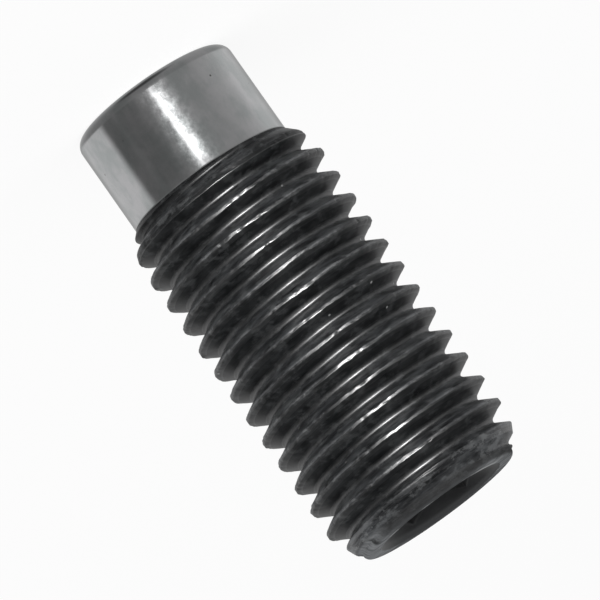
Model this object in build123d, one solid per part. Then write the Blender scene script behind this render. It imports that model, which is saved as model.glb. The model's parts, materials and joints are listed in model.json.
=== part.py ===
from build123d import *
import os
from math import ceil, cos, radians, tan

# Threaded pin, turned from one bar of steel. A smooth dog locates in a hole, a
# coarse right-hand thread holds the pin, and a hexagon socket in the other end
# takes the key. The pin stands on the dog, socket upwards. Millimetres and degrees.
# The origin is the centre of the dog's end face, and +Z is the pin's axis.

# Whole pin
overall_length = 36.5
end_edge_radius = 0.9

# Dog
dog_diameter = 13.0
dog_length = 7.8

# Thread, of the metric form: its depth and its crest's flat are shares of the pitch.
# The groove's middle passes +X at groove_height, and a whole number of pitches above it.
thread_diameter = 15.6
thread_pitch = 2.0
thread_angle = 60.0
depth_per_pitch = 0.6134
crest_per_pitch = 0.125
groove_height = 0.64

# Lead-in behind the dog: a 45 degree bevel, then a slim cone
bevel_size = 0.85
lead_in_angle = 14.0

# Point at the socket end, where the thread runs out
point_diameter = 13.0
point_angle = 27.5

# Hexagon socket: its mouth is countersunk past the corners, and its pilot hole is slimmer than
# the hexagon is across flats
socket_across_flats = 8.0
socket_depth = 10.0
mouth_past_corner = 0.53
mouth_angle = 90.0
pilot_undersize = 0.4
pilot_point_angle = 118.0

# Worked out from the sizes above
dog_radius = dog_diameter / 2
thread_radius = thread_diameter / 2
point_radius = point_diameter / 2
socket_corner_radius = socket_across_flats / 2 / cos(radians(30))
mouth_radius = socket_corner_radius + mouth_past_corner
pilot_radius = (socket_across_flats - pilot_undersize) / 2
thread_depth = depth_per_pitch * thread_pitch
root_distance = thread_radius - thread_depth

# Cutting tools pass the surface that they cut by this much
overshoot = 0.1


def turned(*outline, rounded=None):
    """Revolve an outline of (radius, height) points, with its seam at -X and one corner rounded."""
    section = make_face(Polyline(*outline, close=True))
    if rounded:
        corner = section.vertices().sort_by_distance(rounded)[0]
        section = fillet(corner, end_edge_radius)
    return Rot(0, 0, 180) * revolve(Plane.XZ * section, Axis.Z)


def dog():
    """Smooth cylinder with its end's edge rounded."""
    return turned(
        (0, 0),
        (dog_radius, 0),
        (dog_radius, dog_length),
        (0, dog_length),
        rounded=(dog_radius, 0),
    )


def thread_envelope():
    """Space that the thread may fill: a bevel and a cone behind the dog, a cone at the point."""
    outer = thread_radius + overshoot
    bevel_radius = dog_radius + bevel_size
    bevel_top = dog_length + bevel_size
    lead_in_rise = (outer - bevel_radius) / tan(radians(lead_in_angle))
    point_fall = (outer - point_radius) / tan(radians(point_angle))
    return turned(
        (0, dog_length),
        (dog_radius, dog_length),
        (bevel_radius, bevel_top),
        (outer, bevel_top + lead_in_rise),
        (outer, overall_length - point_fall),
        (point_radius, overall_length),
        (0, overall_length),
        rounded=(point_radius, overall_length),
    )


def groove_section():
    """Groove between two turns, X outwards: a flat root between two flanks, open past the crest."""
    flank_slope = tan(radians(thread_angle / 2))
    crest_half = (1 - crest_per_pitch) * thread_pitch / 2
    root_half = crest_half - thread_depth * flank_slope
    top_half = crest_half + overshoot * flank_slope
    return make_face(
        Polyline(
            (root_distance, -root_half),
            (thread_radius + overshoot, -top_half),
            (thread_radius + overshoot, top_half),
            (root_distance, root_half),
            close=True,
        )
    )


def threaded_bar():
    """Round bar with the thread cut past both ends, then cut to length at the shoulder and the end."""
    turns_below = ceil((dog_length - groove_height) / thread_pitch) - 2
    start = groove_height + turns_below * thread_pitch
    turns = ceil((overall_length - start) / thread_pitch) + 1
    length = turns * thread_pitch
    path = Helix(thread_pitch, length, root_distance, center=(0, 0, start))
    section = Plane.XZ * Pos(0, start) * groove_section()
    groove = sweep(section, path=path, is_frenet=True)
    bar = Cylinder(
        thread_radius,
        length + 2 * thread_pitch,
        align=(Align.CENTER, Align.CENTER, Align.MIN),
    )
    threaded = Pos(0, 0, start - thread_pitch) * bar - groove
    threaded = threaded.split(Plane.XY.offset(dog_length), keep=Keep.TOP)
    return threaded.split(Plane.XY.offset(overall_length), keep=Keep.BOTTOM)


def hexagon_socket():
    """Broached hexagon on the point of its pilot drill, with a countersunk mouth."""
    floor = overall_length - socket_depth
    hexagon = RegularPolygon(socket_across_flats / 2, 6, major_radius=False)
    broached = Pos(0, 0, floor) * extrude(hexagon, socket_depth + overshoot)
    pilot_point = pilot_radius / tan(radians(pilot_point_angle / 2))
    pilot = turned((0, floor - pilot_point), (pilot_radius, floor), (0, floor))
    mouth_slope = tan(radians(mouth_angle / 2))
    mouth = turned(
        (0, overall_length - mouth_radius / mouth_slope),
        (mouth_radius + overshoot * mouth_slope, overall_length + overshoot),
        (0, overall_length + overshoot),
    )
    return broached + pilot + mouth


def threaded_pin():
    """The thread trimmed to its envelope and hollowed by the socket, on its dog."""
    return (threaded_bar() & (thread_envelope() - hexagon_socket())) + dog()


os.makedirs("parts", exist_ok=True)
export_step(threaded_pin(), "parts/threaded_pin.step")
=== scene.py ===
import json
import math

import bmesh
import bpy
from mathutils import Matrix, Vector, noise


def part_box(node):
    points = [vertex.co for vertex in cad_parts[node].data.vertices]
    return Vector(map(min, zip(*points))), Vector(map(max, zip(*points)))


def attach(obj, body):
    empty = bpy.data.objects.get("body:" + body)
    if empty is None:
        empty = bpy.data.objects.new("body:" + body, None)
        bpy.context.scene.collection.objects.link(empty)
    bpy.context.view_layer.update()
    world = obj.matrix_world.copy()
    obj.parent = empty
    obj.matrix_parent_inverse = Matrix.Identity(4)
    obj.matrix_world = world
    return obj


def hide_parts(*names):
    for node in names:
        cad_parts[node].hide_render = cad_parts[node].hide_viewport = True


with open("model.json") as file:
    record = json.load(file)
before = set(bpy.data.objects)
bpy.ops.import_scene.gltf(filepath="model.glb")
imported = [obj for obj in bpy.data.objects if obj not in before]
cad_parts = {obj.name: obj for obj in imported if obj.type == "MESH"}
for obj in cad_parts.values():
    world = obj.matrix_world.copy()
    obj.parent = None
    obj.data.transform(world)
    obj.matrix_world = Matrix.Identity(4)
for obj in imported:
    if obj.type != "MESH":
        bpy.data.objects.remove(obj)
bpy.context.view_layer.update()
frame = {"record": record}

# A threaded pin of turned steel that stands on its dog: thread and socket are black oxide, and the
# dog is ground bright. The pin's axis is Z and its foot is at the origin, as in the frame.

MM = 0.001
TURN = 2 * math.pi

mounts = {mount["name"]: mount for mount in frame["record"]["mounts"]}
high_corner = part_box("threaded_pin")[1]

# Sizes in millimetres: the first ones come from the frame
LENGTH = high_corner.z / MM
THREAD_RADIUS = mounts["thread"]["dims"]["r_mm"]
DOG_RADIUS = mounts["dog"]["dims"]["r_mm"]
SOCKET_DEPTH = mounts["hex_socket"]["dims"]["length_mm"]
END_ROUNDING = 0.9
DOG_LENGTH = mounts["dog"]["dims"]["length_mm"] + END_ROUNDING

PITCH = 2.0
FLANK_ANGLE = math.radians(30)
CREST_FLAT = PITCH / 8
CREST_ROUNDING = 0.13
ROOT_ROUNDING = 0.1443 * PITCH
GROOVE_HEIGHT = 0.64
CREST_HEIGHT = GROOVE_HEIGHT + PITCH / 2

BEVEL = 0.85
LEAD_IN_ANGLE = math.radians(14)
POINT_RADIUS = 6.5
POINT_ANGLE = math.radians(27.5)

HEX_FLAT = 4.0
MOUTH_RADIUS = HEX_FLAT / math.cos(math.radians(30)) + 0.53
PILOT_RADIUS = HEX_FLAT - 0.2
PILOT_SLOPE = math.tan(math.radians(118 / 2))

# The turned point ends in a low land, slimmer than the cone above it
LAND_LENGTH = 0.5
LAND_RADIUS = 6.5
LAND_ROUNDING = 0.4
# The real end face is cut a little out of square, highest on the +X side
END_SKEW = math.radians(1.1)

# Concave rounding where the dog meets the bevel
FILLET = 0.3

# Wear of the thread: how far from a crest it reaches, how near to one the mesh is finer, how far
# from a crest the roots start, and over what width the wear fades
CREST_REACH = 0.32
CREST_SPLIT = 0.22
ROOT_START = 0.7
WEAR_FADE = 0.2
NICK_DEPTH = 0.14
WORN_FLAT = 0.012
# Above this the point has cut the crests away, so they are worn less there
WORN_TOP = LENGTH - 2.4
POINT_WEAR = 0.3

# Height of the zone at each end of the thread where the cones cut sharp edges, the rounding that
# these edges get, and the angle past which an edge counts as sharp
EDGE_ZONE = 3.6
EDGE_ROUNDING = 0.05
EDGE_ANGLE = math.radians(34)

# Rubbed oxide covers the crests and the roots between these heights, as far as this from each
RUBBED_BOTTOM = DOG_LENGTH + 2.3
RUBBED_TOP = LENGTH - 1.2
RUBBED_REACH = 0.28

# The skew of the end face fades out down the point
SKEW_DEPTH = 1.6
SKEW_FADE = 1.4

# Edges past this angle are shaded as edges
SHARP_ANGLE = math.radians(38)

# Material slots
OXIDE, GROUND, BROACHED, RUBBED = range(4)

# Steps round the pin; a multiple of six puts a vertex in each corner of the hexagon
STEPS = 192
STEP_ANGLE = TURN / STEPS

# Points nearer than this are one: on the thread's turns, and on the whole pin
THREAD_MERGE = 0.01 * MM
PIN_MERGE = 0.003 * MM
# A cut takes in points that lie this near, and its edges are found within this height of it
CUT_SNAP = 0.002 * MM
CUT_LEVEL = 0.005 * MM


def point(radius, angle, height):
    """Point on the pin from its polar place in millimetres, in metres."""
    return Vector((radius * math.cos(angle), radius * math.sin(angle), height)) * MM


def polar(place):
    """Radius in millimetres, angle and height in millimetres of a point in metres."""
    return math.hypot(place.x, place.y) / MM, math.atan2(place.y, place.x), place.z / MM


def smooth_step(value):
    """Ease a value from 0 to 1, and hold it outside them."""
    value = min(max(value, 0.0), 1.0)
    return value * value * (3 - 2 * value)


def outline_radius(height):
    """Largest radius that the turned blank allows at this height, in millimetres."""
    above = height - DOG_LENGTH
    if above < BEVEL:
        return DOG_RADIUS + above
    lead_in = DOG_RADIUS + BEVEL + (above - BEVEL) * math.tan(LEAD_IN_ANGLE)
    below = LENGTH - height
    point_end = POINT_RADIUS + below * math.tan(POINT_ANGLE)
    step = LAND_RADIUS + max(below - LAND_LENGTH, 0) / math.tan(FLANK_ANGLE)
    return min(lead_in, point_end, step)


def helix_place(angle, height):
    """Turn number, and height above that turn's crest in millimetres, at this place."""
    turns = (height - CREST_HEIGHT) / PITCH - angle / TURN
    turn = math.floor(turns)
    return turn, (turns - turn) * PITCH


def thread_section(bm):
    """Section of one turn in the XZ plane, from crest to crest, with rounded crest and root."""
    half_flat = CREST_FLAT / 2
    root_apex = THREAD_RADIUS - (PITCH / 2 - half_flat) / math.tan(FLANK_ANGLE)
    corners = [
        (THREAD_RADIUS, 0),
        (THREAD_RADIUS, half_flat),
        (root_apex, PITCH / 2),
        (THREAD_RADIUS, PITCH - half_flat),
        (THREAD_RADIUS, PITCH),
    ]
    verts = [bm.verts.new(point(radius, 0, CREST_HEIGHT + height)) for radius, height in corners]
    for first, second in zip(verts, verts[1:]):
        bm.edges.new((first, second))
    crest_offset = CREST_ROUNDING * math.tan((math.pi / 2 - FLANK_ANGLE) / 2)
    root_offset = ROOT_ROUNDING / math.tan(FLANK_ANGLE)
    for rounded, offset, segments in (
        ([verts[1], verts[3]], crest_offset, 3),
        ([verts[2]], root_offset, 6),
    ):
        bmesh.ops.bevel(
            bm,
            geom=rounded,
            offset=offset * MM,
            segments=segments,
            profile=0.5,
            affect="VERTICES",
            material=-1,
        )
    flanks = [edge for edge in bm.edges if edge.calc_length() > 0.6 * MM]
    bmesh.ops.subdivide_edges(bm, edges=flanks, cuts=2)


def thread_surface(bm):
    """Endless thread: one turn of the section spun along the helix, and copies of it."""
    thread_section(bm)
    bmesh.ops.spin(
        bm,
        geom=bm.verts[:] + bm.edges[:],
        cent=(0, 0, 0),
        axis=(0, 0, 1),
        dvec=(0, 0, PITCH * MM / STEPS),
        angle=TURN,
        steps=STEPS,
        use_duplicate=False,
    )
    one_turn = bm.verts[:] + bm.edges[:] + bm.faces[:]
    first = math.floor((DOG_LENGTH - CREST_HEIGHT) / PITCH) - 2
    last = math.ceil((LENGTH - CREST_HEIGHT) / PITCH)
    for turn in range(first + 1, last + 1):
        copy = bmesh.ops.duplicate(bm, geom=one_turn)["geom"]
        verts = [part for part in copy if isinstance(part, bmesh.types.BMVert)]
        bmesh.ops.translate(bm, vec=(0, 0, turn * PITCH * MM), verts=verts)
    start = [part for part in one_turn if isinstance(part, bmesh.types.BMVert)]
    bmesh.ops.translate(bm, vec=(0, 0, first * PITCH * MM), verts=start)
    bmesh.ops.remove_doubles(bm, verts=bm.verts, dist=THREAD_MERGE)


def trim_to_outline(bm):
    """Bring the thread inside the turned outline, with an edge where it meets the cones."""
    over = {}
    for vert in bm.verts:
        radius, _, height = polar(vert.co)
        over[vert] = radius - outline_radius(height)
    crossing = set()
    for edge in bm.edges:
        first, second = edge.verts
        if (over[first] > 0) == (over[second] > 0):
            continue
        # The edges that run up the section are moved, and not the ones along the helix
        angle = polar(first.co)[1]
        if abs(math.remainder(angle - polar(second.co)[1], TURN)) > 0.3 * STEP_ANGLE:
            continue
        share = over[first] / (over[first] - over[second])
        nearer = first if share < 0.5 else second
        if nearer in crossing:
            continue
        crossing.add(nearer)
        nearer.co = first.co.lerp(second.co, share)
    for vert in bm.verts:
        radius, angle, height = polar(vert.co)
        if vert not in crossing and over[vert] > 0:
            vert.co = point(outline_radius(height), angle, height)
    bmesh.ops.connect_verts(bm, verts=list(crossing))


def drift(strength, along, waves, row, layer):
    """Smooth wander along the helix, with its own number of waves a millimetre."""
    return strength * noise.noise((along * waves, row, layer))


def worn_crest(radius, angle, height, turns):
    """Place of a point near a crest once it is bent, blunted and nicked."""
    away = crest_distance((radius, angle, height))
    along = (angle + round(turns) * TURN) * THREAD_RADIUS
    side = 1 if turns > round(turns) else -1
    hold = smooth_step((CREST_REACH - away) / WEAR_FADE)
    if height > WORN_TOP:
        hold *= POINT_WEAR
    wander = drift(0.1, along, 0.16, 3.0, 0.0) + 0.01
    wander += drift(0.05, along, 0.7, 0.0, 9.0)
    wander += drift(0.03, along, 2.3, 0.0, 12.0)
    wander += drift(0.06 * side, along, 0.45, 5.0, side * 4.0)
    blunt = drift(1.0, along, 0.3, 7.1, 0.0)
    nick = drift(1.0, along, 1.7, 3.3, away * 2)
    nick += drift(0.4, along, 4.0, 2.0, away * 6)
    # The crest is worn to a narrow flat that leans to and fro, and the nicks go deeper
    flat = THREAD_RADIUS - WORN_FLAT * (1 + blunt)
    lean = drift(0.4, along, 0.33, 6.0, 21.0) + drift(0.35, along, 1.3, 1.0, 31.0)
    depth = NICK_DEPTH * max(nick - 0.28 + 0.4 * blunt, 0.0) + lean * side * away
    worn = min(radius, flat) if height < WORN_TOP else radius
    return point(worn - hold * depth, angle, height + hold * wander)


def worn_root(radius, angle, height, turns):
    """Place of a point near a root once it wanders."""
    away = crest_distance((radius, angle, height))
    along = (angle + math.floor(turns) * TURN) * THREAD_RADIUS
    hold = smooth_step((away - ROOT_START) / WEAR_FADE)
    wander = 0.035 + drift(0.1, along, 0.15, 11.0, 0.0)
    lift = drift(0.02, along, 0.25, 20.0, 4.0)
    return point(radius + hold * lift, angle, height + hold * wander)


def wear_thread(bm):
    """Nick, blunt and bend the crests a little, and let the root wander."""
    helix_edges = []
    for edge in bm.edges:
        first, second = (polar(vert.co) for vert in edge.verts)
        turning = abs(math.remainder(first[1] - second[1], TURN))
        middle = polar((edge.verts[0].co + edge.verts[1].co) / 2)
        if turning > 0.5 * STEP_ANGLE and crest_distance(middle) < CREST_SPLIT:
            helix_edges.append(edge)
    bmesh.ops.subdivide_edges(bm, edges=helix_edges, cuts=1)
    for vert in bm.verts:
        radius, angle, height = polar(vert.co)
        turns = (height - CREST_HEIGHT) / PITCH - angle / TURN
        away = crest_distance((radius, angle, height))
        if away < CREST_REACH:
            vert.co = worn_crest(radius, angle, height, turns)
        elif away > ROOT_START:
            vert.co = worn_root(radius, angle, height, turns)


def soften_edges(bm):
    """Narrow rounding on the edges that the cones cut on the thread, and give it the rubbed oxide."""
    bmesh.ops.recalc_face_normals(bm, faces=bm.faces)
    sharp = []
    for edge in bm.edges:
        height = polar(edge.verts[0].co)[2]
        at_dog = DOG_LENGTH + FILLET < height < DOG_LENGTH + EDGE_ZONE
        at_point = LENGTH - EDGE_ZONE < height < LENGTH - LAND_LENGTH - 0.1
        if (at_dog or at_point) and edge.calc_face_angle(0.0) > EDGE_ANGLE:
            sharp.append(edge)
    bmesh.ops.bevel(
        bm,
        geom=sharp,
        offset=EDGE_ROUNDING * MM,
        segments=2,
        profile=0.5,
        affect="EDGES",
        clamp_overlap=False,
        material=RUBBED,
    )


def crest_distance(place):
    """Distance along the axis from the nearest crest, in millimetres."""
    _, angle, height = place
    above = helix_place(angle, height)[1]
    return min(above, PITCH - above)


def cut_level(bm, height, keep_above):
    """Cut the open surface at a height, and return the edges of the cut."""
    bmesh.ops.bisect_plane(
        bm,
        geom=bm.verts[:] + bm.edges[:] + bm.faces[:],
        dist=CUT_SNAP,
        plane_co=(0, 0, height * MM),
        plane_no=(0, 0, 1),
        clear_inner=keep_above,
        clear_outer=not keep_above,
    )
    level = height * MM
    open_edges = [edge for edge in bm.edges if edge.is_boundary]
    return [e for e in open_edges if all(abs(v.co.z - level) < CUT_LEVEL for v in e.verts)]


def ring(bm, height):
    """Level ring of STEPS vertices and its edges."""
    made = bmesh.ops.create_circle(bm, cap_ends=False, segments=STEPS, radius=MM)
    bmesh.ops.translate(bm, vec=(0, 0, height), verts=made["verts"])
    return made["verts"], list({edge for vert in made["verts"] for edge in vert.link_edges})


def skin_rings(bm, start, rings):
    """Skin from an open edge loop through rings of (radius, height), and return the last one.

    Each ring is bridged while it is clear of the one before, because two level rings in one plane
    would be bridged across the hole.
    """
    previous = start
    for radius, height in rings:
        radius_at = radius if callable(radius) else lambda angle, value=radius: value
        height_at = height if callable(height) else lambda angle, value=height: value
        clear = previous[0].verts[0].co.z + MM
        verts, following = ring(bm, clear)
        for vert in verts:
            angle = polar(vert.co)[1]
            vert.co = point(radius_at(angle), angle, clear / MM)
        bmesh.ops.bridge_loops(bm, edges=previous + following)
        for vert in verts:
            radius_here, angle, _ = polar(vert.co)
            vert.co = point(radius_here, angle, height_at(angle))
        previous = following
    return previous


def close_with_pole(bm, loop, height):
    """Close a ring with a fan round one point on the axis."""
    cap = bmesh.ops.contextual_create(bm, geom=loop)["faces"]
    pole = bmesh.ops.poke(bm, faces=cap)["verts"][0]
    pole.co = point(0, 0, height)


def arc(centre, radius, start, end, count):
    """Points of an arc in the outline, with angles in degrees from the radial direction."""
    steps = [math.radians(start + (end - start) * step / count) for step in range(count + 1)]
    return [
        (centre[0] + radius * math.cos(angle), centre[1] + radius * math.sin(angle))
        for angle in steps
    ]


def hexagon_radius(angle):
    """Distance from the axis to the hexagon's wall; two of its corners lie on the X axis."""
    return HEX_FLAT / math.cos(math.remainder(angle - math.pi / 6, math.pi / 3))


def mouth_height(angle):
    """Height at which the countersink meets the hexagon's wall."""
    return LENGTH - (MOUTH_RADIUS - hexagon_radius(angle))


def socket_end(bm, start):
    """Land with its edge rounded, end face, countersink, hexagon and the pilot drill's point."""
    centre = (LAND_RADIUS - LAND_ROUNDING, LENGTH - LAND_ROUNDING)
    rings = arc(centre, LAND_ROUNDING, 0, 90, 8)
    # End face, then the mouth's rim and the hexagon's top edge with a narrow rounding each
    rings += [((centre[0] + MOUTH_RADIUS) / 2, LENGTH)]
    rings += [(MOUTH_RADIUS + 0.1, LENGTH), (MOUTH_RADIUS + 0.03, LENGTH - 0.02)]
    rings += [(MOUTH_RADIUS - 0.06, LENGTH - 0.09)]
    rings += [(lambda a: hexagon_radius(a) + 0.04, lambda a: mouth_height(a) + 0.04)]
    rings += [(hexagon_radius, lambda a: mouth_height(a) - 0.03)]
    floor = LENGTH - SOCKET_DEPTH
    walls = 6
    for step in range(1, walls + 1):
        share = step / walls
        rings += [(hexagon_radius, lambda a, s=share: mouth_height(a) * (1 - s) + floor * s)]
    rings += [(PILOT_RADIUS, floor)]
    point_depth = PILOT_RADIUS / PILOT_SLOPE
    rings += [(PILOT_RADIUS / 2, floor - point_depth / 2)]
    last = skin_rings(bm, start, rings)
    close_with_pole(bm, last, floor - point_depth)


def dog(bm, start):
    """Fillet, straight ground cylinder and its rounded edge, down to the flat end face."""
    fillet_rise = FILLET * math.tan(math.pi / 8)
    rings = arc((DOG_RADIUS + FILLET, DOG_LENGTH - fillet_rise), FILLET, 135, 180, 5)[1:]
    top = rings[-1][1]
    straight = 8
    for step in range(1, straight):
        share = step / straight
        rings += [(DOG_RADIUS, top * (1 - share) + END_ROUNDING * share)]
    rings += arc((DOG_RADIUS - END_ROUNDING, END_ROUNDING), END_ROUNDING, 0, -90, 12)
    rings += [(3.0, 0.0)]
    last = skin_rings(bm, start, rings)
    close_with_pole(bm, last, 0)


def skew_end(bm):
    """Tilt the end face a little, as the real one is cut."""
    for vert in bm.verts:
        radius, _, height = polar(vert.co)
        if height > LENGTH - SKEW_DEPTH:
            share = smooth_step((height - LENGTH + SKEW_DEPTH) / SKEW_FADE)
            vert.co.z += share * vert.co.x * math.tan(END_SKEW)


def unroll(bm):
    """UV map in millimetres: along the helix, and up from the crest below."""
    layer = bm.loops.layers.uv.new("unrolled")
    for face in bm.faces:
        _, face_angle, face_height = polar(face.calc_center_median())
        turn = helix_place(face_angle, face_height)[0]
        for loop in face.loops:
            _, angle, height = polar(loop.vert.co)
            angle = face_angle + math.remainder(angle - face_angle, TURN)
            above = height - CREST_HEIGHT - (angle / TURN + turn) * PITCH
            loop[layer].uv = ((angle + turn * TURN) * THREAD_RADIUS, above)


def build_pin():
    """The whole pin as one mesh, with a material for each finish."""
    bm = bmesh.new()
    thread_surface(bm)
    trim_to_outline(bm)
    wear_thread(bm)
    soften_edges(bm)
    top = cut_level(bm, LENGTH - LAND_ROUNDING, keep_above=False)
    socket_end(bm, top)
    fillet_top = DOG_LENGTH + FILLET * (math.sqrt(0.5) - math.tan(math.pi / 8))
    bottom = cut_level(bm, fillet_top, keep_above=True)
    dog(bm, bottom)
    skew_end(bm)
    bmesh.ops.remove_doubles(bm, verts=bm.verts, dist=PIN_MERGE)
    bmesh.ops.recalc_face_normals(bm, faces=bm.faces)
    unroll(bm)
    mesh = bpy.data.meshes.new("threaded_pin_body")
    for face in bm.faces:
        face.smooth = True
        middle = polar(face.calc_center_median())
        radius, _, height = middle
        rolled = RUBBED_BOTTOM < height < RUBBED_TOP
        if height < DOG_LENGTH - 0.03:
            face.material_index = GROUND
        elif radius < MOUTH_RADIUS:
            face.material_index = BROACHED
        elif rolled and not RUBBED_REACH < crest_distance(middle) < PITCH / 2 - RUBBED_REACH:
            face.material_index = RUBBED
        elif height > LENGTH - EDGE_ZONE:
            face.material_index = OXIDE
    bm.to_mesh(mesh)
    bm.free()
    mesh.set_sharp_from_angle(angle=SHARP_ANGLE)
    pin = bpy.data.objects.new("threaded_pin_body", mesh)
    bpy.context.scene.collection.objects.link(pin)
    # Flat surfaces keep their own normal, so that a highlight stays on the narrow roundings
    weighting = pin.modifiers.new("face_weighted_normals", "WEIGHTED_NORMAL")
    weighting.keep_sharp = True
    weighting.weight = 60
    return pin


def linear_colour(hex_value):
    """Linear RGBA of an sRGB hex colour."""
    parts = [int(hex_value[start : start + 2], 16) / 255 for start in (1, 3, 5)]
    channels = [c / 12.92 if c <= 0.04045 else ((c + 0.055) / 1.055) ** 2.4 for c in parts]
    return (*channels, 1.0)


def add_node(tree, kind, inputs=(), **settings):
    """Add a node, set its properties, and set or link its inputs."""
    node = tree.nodes.new(kind)
    for name, value in settings.items():
        setattr(node, name, value)
    for name, value in dict(inputs).items():
        if isinstance(value, bpy.types.NodeSocket):
            tree.links.new(value, node.inputs[name])
        else:
            node.inputs[name].default_value = value
    return node


def new_material(name):
    """Empty node material, and its tree."""
    material = bpy.data.materials.new(name)
    material.use_nodes = True
    material.node_tree.nodes.clear()
    return material, material.node_tree


def combine(tree, operation, *values):
    """Math node on numbers or sockets."""
    return add_node(
        tree, "ShaderNodeMath", dict(enumerate(values)), operation=operation
    ).outputs[0]


def hard_range(tree, value, start, end, low, high):
    """Value taken linearly from start…end to low…high."""
    settings = {"Value": value, "From Min": start, "From Max": end, "To Min": low, "To Max": high}
    return add_node(tree, "ShaderNodeMapRange", settings).outputs[0]


def soft_range(tree, value, start, end):
    """Value taken smoothly from start…end to 0…1."""
    settings = {"Value": value, "From Min": start, "From Max": end}
    return add_node(
        tree, "ShaderNodeMapRange", settings, interpolation_type="SMOOTHSTEP"
    ).outputs[0]


def mix_colour(tree, share, first, second):
    """Mix of two colours, each a hex value or a socket."""
    first, second = (
        linear_colour(value) if isinstance(value, str) else value for value in (first, second)
    )
    settings = {"Factor": share, "A": first, "B": second}
    return add_node(tree, "ShaderNodeMix", settings, data_type="RGBA").outputs["Result"]


def stretched_noise(tree, place, per_millimetre, detail, roughness):
    """Noise with its own number of waves a millimetre along each axis."""
    stretch = add_node(
        tree, "ShaderNodeVectorMath", {0: place, 1: per_millimetre}, operation="MULTIPLY"
    ).outputs[0]
    settings = {"Vector": stretch, "Scale": 1.0, "Detail": detail, "Roughness": roughness}
    return add_node(tree, "ShaderNodeTexNoise", settings).outputs["Fac"]


def sparse_dots(tree, place, per_millimetre, inner, outer, threshold):
    """Small round dots in a few of the cells; inner and outer are shares of a cell."""
    cells = add_node(tree, "ShaderNodeTexVoronoi", {"Vector": place, "Scale": per_millimetre})
    near_centre = hard_range(tree, cells.outputs["Distance"], outer, inner, 0.0, 1.0)
    draw = add_node(tree, "ShaderNodeSeparateXYZ", {"Vector": cells.outputs["Color"]}).outputs["X"]
    return combine(tree, "MULTIPLY", near_centre, combine(tree, "GREATER_THAN", draw, threshold))


def millimetre_place(tree):
    """Object coordinates in millimetres."""
    place = add_node(tree, "ShaderNodeTexCoord")
    return add_node(
        tree,
        "ShaderNodeVectorMath",
        {0: place.outputs["Object"], "Scale": 1 / MM},
        operation="SCALE",
    ).outputs[0]


def axis_distance(tree, place):
    """Distance of a place from the pin's axis."""
    across = add_node(
        tree, "ShaderNodeVectorMath", {0: place, 1: (1.0, 1.0, 0.0)}, operation="MULTIPLY"
    ).outputs[0]
    return add_node(tree, "ShaderNodeVectorMath", {0: across}, operation="LENGTH").outputs["Value"]


def bump(tree, height, strength, distance, below=None):
    """Relief of a height pattern, with its distance in millimetres, on top of another relief."""
    settings = {"Height": height, "Strength": strength, "Distance": distance * MM}
    if below is not None:
        settings["Normal"] = below
    return add_node(tree, "ShaderNodeBump", settings).outputs[0]


def finish_material(tree, colour, settings):
    """Join the shader of a material to its output."""
    shader = add_node(tree, "ShaderNodeBsdfPrincipled", {"Base Color": colour, **settings})
    add_node(tree, "ShaderNodeOutputMaterial", {"Surface": shader.outputs[0]})


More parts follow.
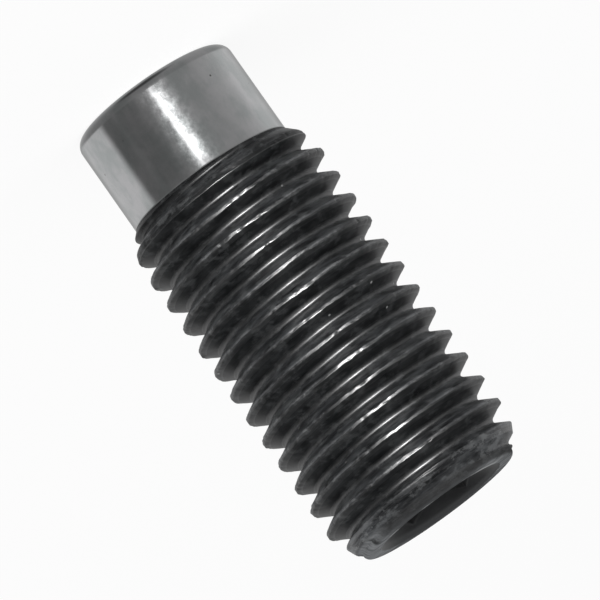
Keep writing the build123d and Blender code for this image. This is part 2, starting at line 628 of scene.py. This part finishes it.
def black_oxide(name, ior):
    """Black oxide on a rolled thread: nearly black, semi-matt, with a little oil.

    Rolling leaves streaks along the helix. The flanks that face the dog, and the turned point, are
    painted a lighter grey as painted light, paler at the point's sides as painted reflection. Where
    the oxide is rubbed it is denser and shines more. The land at the end is dark, its face is painted
    paler at the sides as painted highlights, and the front of the mouth's rim has a painted highlight.
    """
    material, tree = new_material(name)
    place = millimetre_place(tree)
    sides, depthways, height = add_node(tree, "ShaderNodeSeparateXYZ", {"Vector": place}).outputs
    unrolled = add_node(tree, "ShaderNodeUVMap", uv_map="unrolled").outputs[0]
    above = add_node(tree, "ShaderNodeSeparateXYZ", {"Vector": unrolled}).outputs["Y"]

    # Where on the thread: flanks, the flank that faces the dog, the point, the land at its end
    from_crest = combine(tree, "PINGPONG", combine(tree, "SUBTRACT", above, 0.06), 1.0)
    off_crest = soft_range(tree, from_crest, 0.2, 0.3)
    off_root = soft_range(tree, from_crest, 0.82, 0.7)
    on_flank = combine(tree, "MULTIPLY", off_crest, off_root)
    lower_flank = soft_range(tree, above, 0.95, 1.35)
    on_point = soft_range(tree, height, LENGTH - 2.3, LENGTH - 1.5)
    on_land = soft_range(tree, height, LENGTH - LAND_LENGTH - 0.25, LENGTH - LAND_LENGTH)
    sideways = combine(tree, "ABSOLUTE", sides)
    # Painted light: the flank that faces the dog and the point are painted paler, as if light falls on
    # them
    painted_light_zones = combine(tree, "MAXIMUM", lower_flank, on_point)

    # The cone behind the dog, and the front and back of the point, get less of the painted light, so
    # the point is paler at its sides as painted reflection
    behind_dog = soft_range(tree, height, DOG_LENGTH + 2.6, DOG_LENGTH + 1.6)
    point_front = combine(tree, "MULTIPLY", on_point, soft_range(tree, sideways, 5.8, 2.5))
    less_painted_light = combine(tree, "MAXIMUM", behind_dog, point_front)
    painted_light_share = combine(tree, "MULTIPLY", painted_light_zones, hard_range(tree, less_painted_light, 0.0, 1.0, 1.0, 0.35))

    # Patches of uneven oxide and dried oil, drawn out along the helix; where the painted light falls
    # they are paler
    patches = stretched_noise(tree, unrolled, (0.42, 1.9, 1.0), detail=5.0, roughness=0.62)
    patch_mask = soft_range(tree, patches, 0.36, 0.68)
    pale = mix_colour(tree, painted_light_share, "#2b2c2d", "#56585a")
    dark = mix_colour(tree, painted_light_share, "#161718", "#1d1e20")
    oxide = mix_colour(tree, patch_mask, dark, pale)

    # Streaks: long along the helix and a tenth of a millimetre across it
    streaks = stretched_noise(tree, unrolled, (0.45, 7.0, 1.0), detail=3.0, roughness=0.6)
    streak_mask = soft_range(tree, streaks, 0.5, 0.75)
    # Streaks show more where the painted light falls
    streak_share = hard_range(tree, painted_light_share, 0.0, 1.0, 0.12, 0.8)
    streaked = mix_colour(tree, combine(tree, "MULTIPLY", streak_mask, streak_share), oxide, "#505254")

    # Scuffs, where something hard has rubbed the oxide thin, stronger where the painted light falls
    rubbed = stretched_noise(tree, place, (0.9, 0.9, 1.5), detail=6.0, roughness=0.72)
    scuffs_in_painted_light = hard_range(tree, painted_light_share, 0.0, 1.0, 0.2, 0.75)
    scuffs = combine(tree, "MULTIPLY", soft_range(tree, rubbed, 0.5, 0.61), scuffs_in_painted_light)
    scuffed = mix_colour(tree, scuffs, streaked, "#666869")

    # Bare specks a tenth of a millimetre across, a few on each turn
    specks = sparse_dots(tree, place, 0.8, 0.05, 0.1, 0.86)
    with_specks = mix_colour(tree, specks, scuffed, "#a2a3a3")

    # The land at the end is the darkest, and the end face inside it is paler
    from_axis = axis_distance(tree, place)
    on_face = combine(tree, "MULTIPLY", soft_range(tree, from_axis, 6.45, 6.2), on_land)
    dark_land = mix_colour(tree, combine(tree, "MULTIPLY", on_land, 0.6), with_specks, "#121314")
    end_face = mix_colour(tree, combine(tree, "MULTIPLY", on_face, 0.7), dark_land, "#3c3e40")

    # The end face is painted paler on its left and right, in streaks, as painted highlights, and so is
    # the land at +X, as painted reflection
    face_side_highlight = combine(tree, "MULTIPLY", soft_range(tree, sideways, 2.6, 5.2), on_face)
    land_edge_light = combine(tree, "MULTIPLY", soft_range(tree, sides, 3.5, 5.6), on_land)
    painted_side_light = combine(tree, "MAXIMUM", face_side_highlight, land_edge_light)
    face_streaks = stretched_noise(tree, place, (0.5, 2.4, 0.5), detail=4.0, roughness=0.6)
    # The streaked painted highlight on the sides
    worn = combine(tree, "MULTIPLY", soft_range(tree, face_streaks, 0.3, 0.62), painted_side_light)
    with_side_light = mix_colour(tree, worn, end_face, "#707274")

    # The front of the mouth's rim, towards -Y, has a painted highlight, broken in places
    near_rim = soft_range(tree, from_axis, MOUTH_RADIUS + 0.6, MOUTH_RADIUS + 0.3)
    front_rim = combine(tree, "MULTIPLY", near_rim, soft_range(tree, depthways, -1.0, -3.5))
    on_rim = combine(tree, "MULTIPLY", front_rim, on_land)
    breaks = stretched_noise(tree, place, (0.35, 0.35, 0.1), detail=3.0, roughness=0.6)
    painted_rim_highlight = combine(tree, "MULTIPLY", on_rim, soft_range(tree, breaks, 0.4, 0.55))
    colour = mix_colour(tree, painted_rim_highlight, with_side_light, "#8d8f90")

    # Flanks are burnished, scuffs are dull, and the land at the end is the dullest
    dry = hard_range(tree, patches, 0.3, 0.7, 0.38, 0.47)
    burnished = combine(tree, "MULTIPLY_ADD", combine(tree, "MAXIMUM", on_flank, on_point), -0.11, dry)
    on_crest = soft_range(tree, from_crest, 0.32, 0.2)
    polished = combine(tree, "MULTIPLY_ADD", on_crest, -0.05, burnished)
    dulled = combine(tree, "MULTIPLY_ADD", scuffs, 0.1, polished)
    finish = combine(tree, "MULTIPLY_ADD", on_land, 0.6, dulled)

    # Rolling has left ridges beside some stretches of the crest, on the flank that faces the dog
    stretches = stretched_noise(tree, unrolled, (0.16, 1.3, 1.0), detail=2.0, roughness=0.5)
    beside_crest = soft_range(tree, above, 1.35, 1.75)
    ridges = combine(tree, "MULTIPLY", hard_range(tree, stretches, 0.45, 0.6, 0.0, 1.0), beside_crest)
    ridged = hard_range(tree, ridges, 0, 1, 0.12, 0.9)
    streak_relief = bump(tree, streaks, ridged, 0.05)

    # Turning has left lines round the point, and a fine grain lies over everything
    turning = stretched_noise(tree, place, (0.13, 0.13, 4.2), detail=2.0, roughness=0.5)
    turned = combine(tree, "MULTIPLY", on_point, 0.45)
    turned_relief = bump(tree, turning, turned, 0.09, streak_relief)
    grain = stretched_noise(tree, place, (7.0, 7.0, 7.0), detail=3.0, roughness=0.6)
    relief = bump(tree, grain, 0.35, 0.012, turned_relief)
    settings = {"Metallic": 0.0, "Roughness": finish, "IOR": ior, "Normal": relief}
    finish_material(tree, colour, settings)
    return material


def broached_steel():
    """Black oxide in the broached socket, with fine broach marks down the walls and painted shade."""
    material, tree = new_material("broached_steel")
    place = millimetre_place(tree)
    level = add_node(tree, "ShaderNodeSeparateXYZ", {"Vector": place}).outputs["Z"]
    from_axis = axis_distance(tree, place)

    # The turned countersink at the mouth is smoother than the walls, and painted shade makes the walls
    # darkest and the countersink paler towards the rim
    below_cone = combine(tree, "SUBTRACT", level, from_axis)
    on_cone = soft_range(tree, below_cone, LENGTH - MOUTH_RADIUS - 0.2, LENGTH - MOUTH_RADIUS - 0.08)
    blotches = stretched_noise(tree, place, (0.9, 0.9, 0.9), detail=4.0, roughness=0.6)
    marks = stretched_noise(tree, place, (5.0, 5.0, 0.25), detail=3.0, roughness=0.6)
    # The walls deep in the socket are painted darkest, as painted shade
    walls = mix_colour(tree, blotches, "#0c0d0e", "#1c1d1e")
    marked = mix_colour(tree, soft_range(tree, marks, 0.45, 0.75), walls, "#2a2b2c")
    shaded_deep_cone = mix_colour(tree, blotches, "#121314", "#2a2b2c")
    # Painted shade: the countersink lightens towards the rim
    near_rim = soft_range(tree, level, LENGTH - 0.45, LENGTH - 0.2)
    cone = mix_colour(tree, near_rim, shaded_deep_cone, "#363738")
    colour = mix_colour(tree, on_cone, marked, cone)
    finish = hard_range(tree, on_cone, 0.0, 1.0, 0.75, 0.38)
    relief = bump(tree, marks, 0.4, 0.02)
    settings = {"Metallic": 0.0, "Roughness": finish, "IOR": 1.45, "Normal": relief}
    finish_material(tree, colour, settings)
    return material


def ground_steel():
    """Cylindrically ground steel, bright, with fine grinding lines round the dog."""
    material, tree = new_material("ground_steel")
    place = millimetre_place(tree)
    tangent = add_node(tree, "ShaderNodeTangent", direction_type="RADIAL", axis="Z")
    cloud = stretched_noise(tree, place, (0.6, 0.6, 0.4), detail=4.0, roughness=0.6)
    steel = mix_colour(tree, soft_range(tree, cloud, 0.35, 0.65), "#9b9e9e", "#ababac")
    specks = sparse_dots(tree, place, 0.5, 0.02, 0.05, 0.7)
    colour = mix_colour(tree, specks, steel, "#454441")

    # The polish is uneven, so that a highlight's edge is ragged
    ragged = stretched_noise(tree, place, (2.4, 2.4, 2.0), detail=6.0, roughness=0.7)
    finish = hard_range(tree, ragged, 0.3, 0.7, 0.095, 0.15)

    # Grinding lines: a millimetre or two long, and a sixth of a millimetre apart
    lines = stretched_noise(tree, place, (0.6, 0.6, 6.0), detail=4.0, roughness=0.65)
    settings = {
        "Metallic": 1.0,
        "Roughness": finish,
        "Anisotropic": 0.3,
        "Anisotropic Rotation": 0.25,
        "Tangent": tangent.outputs[0],
        "Normal": bump(tree, lines, 0.3, 0.0015),
    }
    finish_material(tree, colour, settings)
    return material


# Studio: strength of the room as light, and the camera's sizes in degrees, metres and millimetres
ROOM_LEVEL = 0.65
PIN_MIDDLE = Vector((0, 0, LENGTH * MM / 2))
ELEVATION = 8.85
ROLL = 144.88
DISTANCE = 0.53
VIEW_WIDTH = 42.775
SENSOR_WIDTH = 36
LENS = SENSOR_WIDTH * DISTANCE / (VIEW_WIDTH * MM)
AIM_HEIGHT = 18.67
AIM_SHIFT = (-0.148, -0.283)


def mirrored_room(tree):
    """Strength of what shiny steel mirrors in each direction from the pin.

    The pale backdrop stands behind the pin. The room in front of it is dimmer, and darkest on the
    +X side. The stops are (degrees from the front towards -X, strength).
    """
    level_stops = (
        (-180, 0.45),
        (-160, 0.5),
        (-140, 0.9),
        (-118, 0.98),
        (-87, 0.98),
        (-77, 0.205),
        (-62, 0.205),
        (-56, 0.24),
        (-50, 0.205),
        (-30, 0.205),
        (-12, 0.28),
        (0, 0.34),
        (2.5, 1.6),
        (5, 1.6),
        (7.5, 0.42),
        (38, 0.45),
        (62, 0.5),
        (86, 0.63),
        (102, 0.76),
        (118, 0.98),
        (140, 0.9),
        (160, 0.5),
        (180, 0.45),
    )
    underfoot_stops = (
        (-180, 0.6),
        (-110, 0.36),
        (-60, 0.26),
        (0, 0.32),
        (60, 0.4),
        (110, 0.5),
        (180, 0.5),
    )
    height_stops = ((-1, 0.2), (-0.97, 0.35), (-0.9, 1.0), (0.25, 1.0), (0.7, 0.08), (1, 0.08))
    place = add_node(tree, "ShaderNodeTexCoord").outputs["Generated"]
    sides, depthways, rise = add_node(tree, "ShaderNodeSeparateXYZ", {"Vector": place}).outputs
    left = combine(tree, "MULTIPLY", sides, -1.0)
    near = combine(tree, "MULTIPLY", depthways, -1.0)
    azimuth = combine(tree, "ARCTAN2", left, near)
    share = hard_range(tree, azimuth, -math.pi, math.pi, 0.0, 1.0)
    level = grey_ramp(tree, share, [((angle + 180) / 360, value) for angle, value in level_stops])
    underfoot_ramp = [((angle + 180) / 360, value) for angle, value in underfoot_stops]
    underfoot = grey_ramp(tree, share, underfoot_ramp)
    around = add_node(
        tree,
        "ShaderNodeMix",
        {"Factor": soft_range(tree, rise, -0.19, -0.36), "A": level, "B": underfoot},
        data_type="RGBA",
    ).outputs["Result"]
    above = hard_range(tree, rise, -1.0, 1.0, 0.0, 1.0)
    dimming = grey_ramp(tree, above, [((height + 1) / 2, value) for height, value in height_stops])
    return combine(tree, "MULTIPLY", around, dimming)


def grey_ramp(tree, value, stops):
    """Colour ramp of grey stops, each a place from 0 to 1 and a strength."""
    ramp = add_node(tree, "ShaderNodeValToRGB", {"Fac": value})
    elements = ramp.color_ramp.elements
    elements[0].position, elements[1].position = stops[0][0], stops[-1][0]
    for position, _ in stops[1:-1]:
        elements.new(position)
    for element, (_, strength) in zip(elements, stops):
        element.color = (strength, strength, strength, 1)
    return ramp.outputs["Color"]


def studio_world():
    """Pale room for light, white backdrop to the eye, and the mirrored room in steel."""
    world = bpy.data.worlds.new("studio")
    world.use_nodes = True
    tree = world.node_tree
    tree.nodes.clear()
    path = add_node(tree, "ShaderNodeLightPath")
    unseen = add_node(
        tree,
        "ShaderNodeMix",
        {"Factor": path.outputs["Is Glossy Ray"], "A": ROOM_LEVEL, "B": mirrored_room(tree)},
    )
    strength = add_node(
        tree,
        "ShaderNodeMix",
        {"Factor": path.outputs["Is Camera Ray"], "A": unseen.outputs[0], "B": 1.0},
    )
    shader = add_node(
        tree,
        "ShaderNodeBackground",
        {"Color": (1, 1, 1, 1), "Strength": strength.outputs[0]},
    )
    add_node(tree, "ShaderNodeOutputWorld", {"Surface": shader.outputs[0]})
    bpy.context.scene.world = world


def floor():
    """Pale floor: nearly white to the eye, and it keeps the pin's shadow.

    Mirrored rays pass it and find the room instead, so that steel shows the pale background.
    """
    bm = bmesh.new()
    bmesh.ops.create_grid(bm, x_segments=1, y_segments=1, size=3.0)
    mesh = bpy.data.meshes.new("floor")
    bm.to_mesh(mesh)
    bm.free()
    obj = bpy.data.objects.new("floor", mesh)
    bpy.context.scene.collection.objects.link(obj)
    material, tree = new_material("floor_white")
    path = add_node(tree, "ShaderNodeLightPath")
    paint = add_node(tree, "ShaderNodeBsdfDiffuse", {"Color": (0.8, 0.8, 0.8, 1)})
    glow = add_node(tree, "ShaderNodeEmission", {"Color": (1, 1, 1, 1), "Strength": 1.0})
    share = combine(tree, "MULTIPLY", path.outputs["Is Camera Ray"], 0.9)
    lit = add_node(
        tree, "ShaderNodeMixShader", {0: share, 1: paint.outputs[0], 2: glow.outputs[0]}
    )
    glossy, transmitted = path.outputs["Is Glossy Ray"], path.outputs["Is Transmission Ray"]
    mirrored = combine(tree, "MAXIMUM", glossy, transmitted)
    passed = add_node(tree, "ShaderNodeBsdfTransparent")
    mix = add_node(
        tree, "ShaderNodeMixShader", {0: mirrored, 1: lit.outputs[0], 2: passed.outputs[0]}
    )
    add_node(tree, "ShaderNodeOutputMaterial", {"Surface": mix.outputs[0]})
    mesh.materials.append(material)


def lamp(name, azimuth, elevation, distance, width, height, power, mirrored):
    """Rectangular soft lamp aimed at the pin. Azimuth 0 is in front, on -Y, and grows towards +X.

    A mirrored lamp gives highlights, and one that isn't mirrored lights the colours.
    """
    data = bpy.data.lights.new(name, "AREA")
    data.shape = "RECTANGLE"
    data.size = width
    data.size_y = height
    data.energy = power
    obj = bpy.data.objects.new(name, data)
    a, e = math.radians(azimuth), math.radians(elevation)
    direction = Vector((math.sin(a) * math.cos(e), -math.cos(a) * math.cos(e), math.sin(e)))
    obj.location = PIN_MIDDLE + direction * distance
    obj.rotation_euler = direction.to_track_quat("Z", "Y").to_euler()
    obj.visible_camera = False
    obj.visible_diffuse = not mirrored
    obj.visible_glossy = mirrored
    bpy.context.scene.collection.objects.link(obj)


def camera():
    """Long lens, a little above the pin's middle and rolled so that the dog is at the upper left."""
    data = bpy.data.cameras.new("camera")
    data.lens = LENS
    data.clip_start = 0.1
    data.clip_end = 20
    obj = bpy.data.objects.new("camera", data)
    elevation = math.radians(ELEVATION)
    back = Vector((0, -math.cos(elevation), math.sin(elevation)))
    upright = (-back).to_track_quat("-Z", "Y").to_matrix().to_4x4()
    roll = Matrix.Rotation(math.radians(ROLL), 4, "Z")
    turned = upright @ roll
    aim = Vector((0, 0, AIM_HEIGHT * MM))
    # Sideways place of the aim in the frame
    offset = turned.to_3x3() @ Vector((AIM_SHIFT[0], AIM_SHIFT[1], 0)) * MM
    obj.matrix_world = Matrix.Translation(aim - offset + back * DISTANCE) @ turned
    bpy.context.scene.collection.objects.link(obj)
    bpy.context.scene.camera = obj


pin = build_pin()
pin.data.materials.append(black_oxide("black_oxide_steel", 1.25))
pin.data.materials.append(ground_steel())
pin.data.materials.append(broached_steel())
pin.data.materials.append(black_oxide("rubbed_oxide_steel", 1.45))
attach(pin, "root")
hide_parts("threaded_pin")

studio_world()
floor()
lamp("strip", -8.1, 3.2, 1.9, 0.14, 0.1, 206.0, mirrored=True)
lamp("softbox", 25, 50, 1.5, 1.2, 1.2, 10.0, mirrored=False)
camera()
bpy.context.scene.view_settings.view_transform = "Standard"
